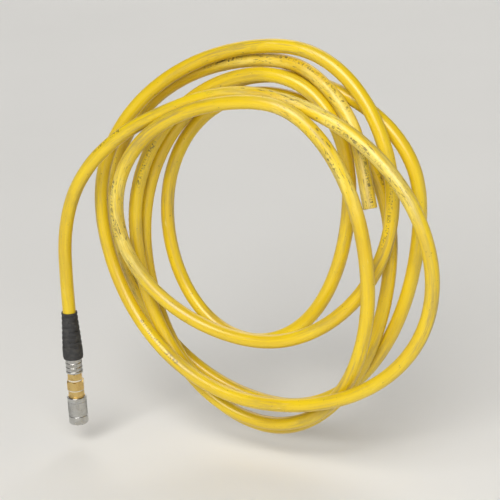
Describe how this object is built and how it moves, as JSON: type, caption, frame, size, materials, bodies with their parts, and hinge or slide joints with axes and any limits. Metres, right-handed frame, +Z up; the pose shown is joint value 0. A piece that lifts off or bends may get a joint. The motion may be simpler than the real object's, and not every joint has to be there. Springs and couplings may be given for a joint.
{
  "type": "coiled air hose",
  "caption": "Yellow air hose hung in a loose round coil, with one bare cut end and a quick-connect coupler with a sliding locking sleeve on the other end.",
  "frame": {"origin": "middle of the saddle that the coil hangs over, at the lowest level the hose touches there", "axes": "+Z up, +Y into the wall behind the coil, +X to the right of someone who faces the wall"},
  "size_m": [0.4876, 0.1065, 0.481],
  "materials": {
    "hose_cover": "satin",
    "hose_braid": "matte",
    "hose_liner": "satin",
    "guard_rubber": "matte",
    "zinc_steel": "satin",
    "brass": "satin",
    "seal_nylon": "matte",
    "seal_rubber": "matte",
    "spring_steel": "satin",
    "ball_steel": "polished"
  },
  "bodies": {
    "root": {"hose_coil": "hose_cover", "cut_end_hose": "hose_cover", "cut_end_cover": "hose_cover", "coupler_tail_hose": "hose_cover", "clamped_hose_end": "hose_cover", "cut_end_braid": "hose_braid", "cut_end_liner": "hose_liner", "bend_guard": "guard_rubber", "crimp_ferrule": "zinc_steel", "hose_stem": "brass", "stem_washer": "seal_nylon", "inlet_body": "brass", "body_gasket": "seal_nylon", "socket_body": "brass", "valve_spring": "spring_steel", "plug_seal": "seal_rubber", "sleeve_spring": "spring_steel", "retaining_ring": "spring_steel"},
    "sleeve": {"locking_sleeve": "zinc_steel"},
    "valve": {"valve_poppet": "brass", "valve_seal": "seal_rubber"},
    "ball_1": {"locking_ball_1": "ball_steel"},
    "ball_2": {"locking_ball_2": "ball_steel"},
    "ball_3": {"locking_ball_3": "ball_steel"},
    "ball_4": {"locking_ball_4": "ball_steel"},
    "ball_5": {"locking_ball_5": "ball_steel"},
    "ball_6": {"locking_ball_6": "ball_steel"}
  },
  "joints": [
    {"name": "sleeve_slide", "type": "slide", "parent": "root", "child": "sleeve", "axis": [0, 0, 1], "range_m": [0, 0.005], "stiffness_N_per_m": 800, "deforming": ["sleeve_spring"]},
    {"name": "valve_slide", "type": "slide", "parent": "root", "child": "valve", "axis": [0, 0, 1], "range_m": [0, 0.004], "stiffness_N_per_m": 500, "deforming": ["valve_spring"]},
    {"name": "ball_1_slide", "type": "slide", "parent": "root", "child": "ball_1", "axis": [1, 0, 0], "range_m": [0, 0.0009]},
    {"name": "ball_2_slide", "type": "slide", "parent": "root", "child": "ball_2", "axis": [0.5, 0.866, 0], "range_m": [0, 0.0009]},
    {"name": "ball_3_slide", "type": "slide", "parent": "root", "child": "ball_3", "axis": [-0.5, 0.866, 0], "range_m": [0, 0.0009]},
    {"name": "ball_4_slide", "type": "slide", "parent": "root", "child": "ball_4", "axis": [-1, 0, 0], "range_m": [0, 0.0009]},
    {"name": "ball_5_slide", "type": "slide", "parent": "root", "child": "ball_5", "axis": [-0.5, -0.866, 0], "range_m": [0, 0.0009]},
    {"name": "ball_6_slide", "type": "slide", "parent": "root", "child": "ball_6", "axis": [0.5, -0.866, 0], "range_m": [0, 0.0009]}
  ],
  "couplings": [
    {"joint": "ball_1_slide", "follows": "sleeve_slide", "ratio": 0.18},
    {"joint": "ball_2_slide", "follows": "sleeve_slide", "ratio": 0.18},
    {"joint": "ball_3_slide", "follows": "sleeve_slide", "ratio": 0.18},
    {"joint": "ball_4_slide", "follows": "sleeve_slide", "ratio": 0.18},
    {"joint": "ball_5_slide", "follows": "sleeve_slide", "ratio": 0.18},
    {"joint": "ball_6_slide", "follows": "sleeve_slide", "ratio": 0.18}
  ]
}
